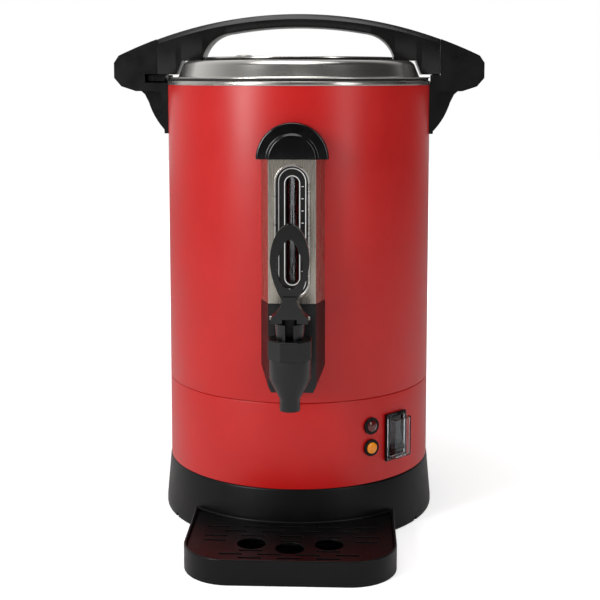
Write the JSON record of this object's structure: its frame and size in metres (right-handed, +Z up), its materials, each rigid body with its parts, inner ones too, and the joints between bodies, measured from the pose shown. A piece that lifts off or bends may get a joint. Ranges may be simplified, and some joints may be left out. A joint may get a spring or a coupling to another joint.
{
  "type": "coffee urn",
  "caption": "Free-standing coffee urn: painted steel drum with arch handle, twist-off lid, level gauge, lever tap, pull-out drip tray and rocker switch.",
  "frame": {"origin": "on the urn's axis, at the surface that the base skirt stands on", "axes": "+Z up, the tap and the drip tray towards -Y, the rocker switch towards +X"},
  "size_m": [0.308, 0.305, 0.416],
  "materials": {
    "red_paint": "satin powder coat",
    "stainless": "satin, fine brushed",
    "inner_steel": "plain mill finish",
    "element_sheath": "dull oxidised",
    "black_plastic": "fine moulded texture",
    "silicone": "soft matt",
    "clear_plastic": "clear, smooth",
    "red_lens": "clear tinted",
    "amber_lens": "clear tinted"
  },
  "bodies": {
    "root": {"base_plate": "inner_steel", "base_screws": "inner_steel", "base_skirt": "black_plastic", "basket_lid": "inner_steel", "boil_element": "element_sheath", "coffee_basket": "inner_steel", "column_cap": "black_plastic", "column_cover": "stainless", "column_foot": "black_plastic", "element_clamp": "inner_steel", "gauge_frame": "stainless", "gauge_pipe": "inner_steel", "gauge_scale": "black_plastic", "handle_screws": "inner_steel", "inlet_pins": "inner_steel", "inlet_socket": "black_plastic", "inner_tank": "stainless", "lamp_bezels": "black_plastic", "lamp_lens_amber": "amber_lens", "lamp_lens_red": "red_lens", "lower_housing": "red_paint", "pump_bell": "inner_steel", "pump_tube": "inner_steel", "shank_nut": "inner_steel", "side_handle_left": "black_plastic", "side_handle_right": "black_plastic", "sight_tube": "clear_plastic", "switch_bezel": "black_plastic", "switch_boot": "clear_plastic", "tap_body": "black_plastic", "tap_bonnet": "black_plastic", "tap_collar": "black_plastic", "tap_gasket": "silicone", "tap_shank": "inner_steel", "tap_spring": "inner_steel", "terminal_block": "black_plastic", "thermal_fuse": "black_plastic", "thermostats": "inner_steel", "tube_grommets": "silicone", "upper_shell": "red_paint", "warm_element": "element_sheath"},
    "lid_seal": {"lid_gasket": "silicone"},
    "lid": {"lid_shell": "stainless", "lid_base_ring": "black_plastic", "lid_cap_plate": "stainless", "vent_cap": "stainless", "lid_handle": "black_plastic", "lid_screws": "inner_steel"},
    "valve_stem": {"tap_stem": "black_plastic", "seat_cup": "silicone"},
    "lever": {"tap_lever": "black_plastic", "lever_pin": "inner_steel"},
    "rocker": {"switch_rocker": "black_plastic"},
    "tray": {"drip_tray": "black_plastic"},
    "grate": {"drip_grate": "black_plastic"},
    "valve_disc": {"pump_valve": "inner_steel"}
  },
  "joints": [
    {"name": "lid_lift", "type": "slide", "parent": "root", "child": "lid_seal", "axis": [0, 0, 1], "range_m": [0, 0.25]},
    {"name": "lid_turn", "type": "hinge", "parent": "lid_seal", "child": "lid", "pos_m": [0, 0, 0.363], "axis": [0, 0, 1], "range_deg": [0, 30]},
    {"name": "stem_lift", "type": "slide", "parent": "root", "child": "valve_stem", "axis": [0, 0, 1], "range_m": [0, 0.0053], "deforming": ["tap_spring"]},
    {"name": "lever_tilt", "type": "hinge", "parent": "valve_stem", "child": "lever", "pos_m": [0, -0.158, 0.1895], "axis": [1, 0, 0], "range_deg": [0, 45], "stiffness_Nm_per_rad": 0.25, "springref_deg": -11.46},
    {"name": "rocker_tip", "type": "hinge", "parent": "root", "child": "rocker", "pos_m": [0.07471, -0.0709, 0.078], "axis": [0.6884, 0.7254, 0], "range_deg": [0, 16]},
    {"name": "tray_pull", "type": "slide", "parent": "root", "child": "tray", "axis": [0, -1, 0], "range_m": [0, 0.12]},
    {"name": "grate_lift", "type": "slide", "parent": "tray", "child": "grate", "axis": [0, 0, 1], "range_m": [0, 0.06]},
    {"name": "valve_rise", "type": "slide", "parent": "root", "child": "valve_disc", "axis": [0, 0, 1], "range_m": [0, 0.003]}
  ],
  "couplings": [
    {"joint": "stem_lift", "follows": "lever_tilt", "m_per_rad": 0.0065}
  ]
}
